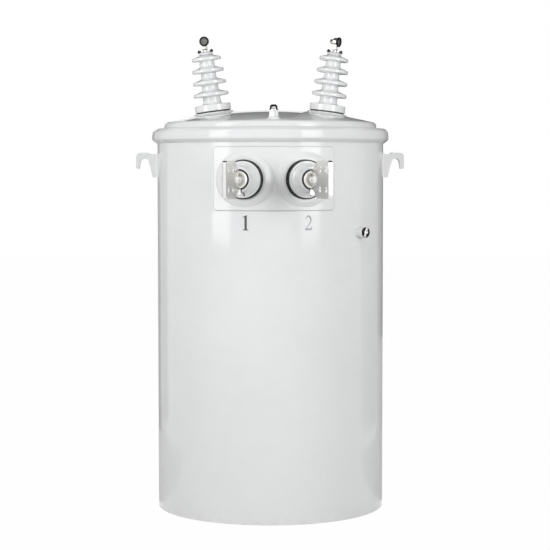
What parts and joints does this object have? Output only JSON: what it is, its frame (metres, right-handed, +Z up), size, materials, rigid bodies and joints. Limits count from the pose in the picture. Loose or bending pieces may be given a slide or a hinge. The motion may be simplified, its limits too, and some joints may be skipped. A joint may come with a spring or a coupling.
{
  "type": "pole mounted transformer",
  "caption": "Round oil filled pole transformer: domed lid under a clamp band, tilted porcelain high voltage bushings, spade terminals on the front, hooks and pole brackets.",
  "frame": {"origin": "centre of the tank's foot, on the floor", "axes": "+Z up along the tank axis, -Y towards the front with the low voltage spades, +Y towards the pole, +X to the right seen from the front"},
  "size_m": [0.664, 0.8352, 1.1628],
  "materials": {
    "tank_paint": "gloss enamel",
    "porcelain": "glazed",
    "seal_rubber": "satin",
    "tinned_bronze": "tin plated, satin",
    "plated_steel": "polished plating",
    "core_steel": "dull"
  },
  "bodies": {
    "root": {"tank_wall": "tank_paint", "tank_bottom": "tank_paint", "core_and_oil": "core_steel", "lid": "tank_paint", "lid_gasket": "seal_rubber", "cover_band": "tank_paint", "band_bolt": "plated_steel", "fill_coupling": "tank_paint", "fill_plug": "plated_steel", "hv_pad_left": "tank_paint", "hv_gasket_left": "seal_rubber", "hv_porcelain_left": "porcelain", "hv_cap_left": "tank_paint", "hv_terminal_left": "tinned_bronze", "hv_clamp_left": "plated_steel", "hv_pad_right": "tank_paint", "hv_gasket_right": "seal_rubber", "hv_porcelain_right": "porcelain", "hv_cap_right": "tank_paint", "hv_terminal_right": "tinned_bronze", "hv_clamp_right": "plated_steel", "lv_plate": "tank_paint", "lv_collar_left": "tank_paint", "lv_gasket_left": "seal_rubber", "lv_porcelain_left": "porcelain", "lv_stud_left": "tinned_bronze", "lv_spade_left": "tinned_bronze", "lv_collar_right": "tank_paint", "lv_gasket_right": "seal_rubber", "lv_porcelain_right": "porcelain", "lv_stud_right": "tinned_bronze", "lv_spade_right": "tinned_bronze", "lifting_lug_left": "tank_paint", "lifting_lug_right": "tank_paint", "hanger_upper": "tank_paint", "hanger_lower": "tank_paint", "relief_boss": "tank_paint", "relief_valve": "plated_steel", "ground_boss": "tank_paint", "ground_bolt": "plated_steel"}
  },
  "joints": []
}
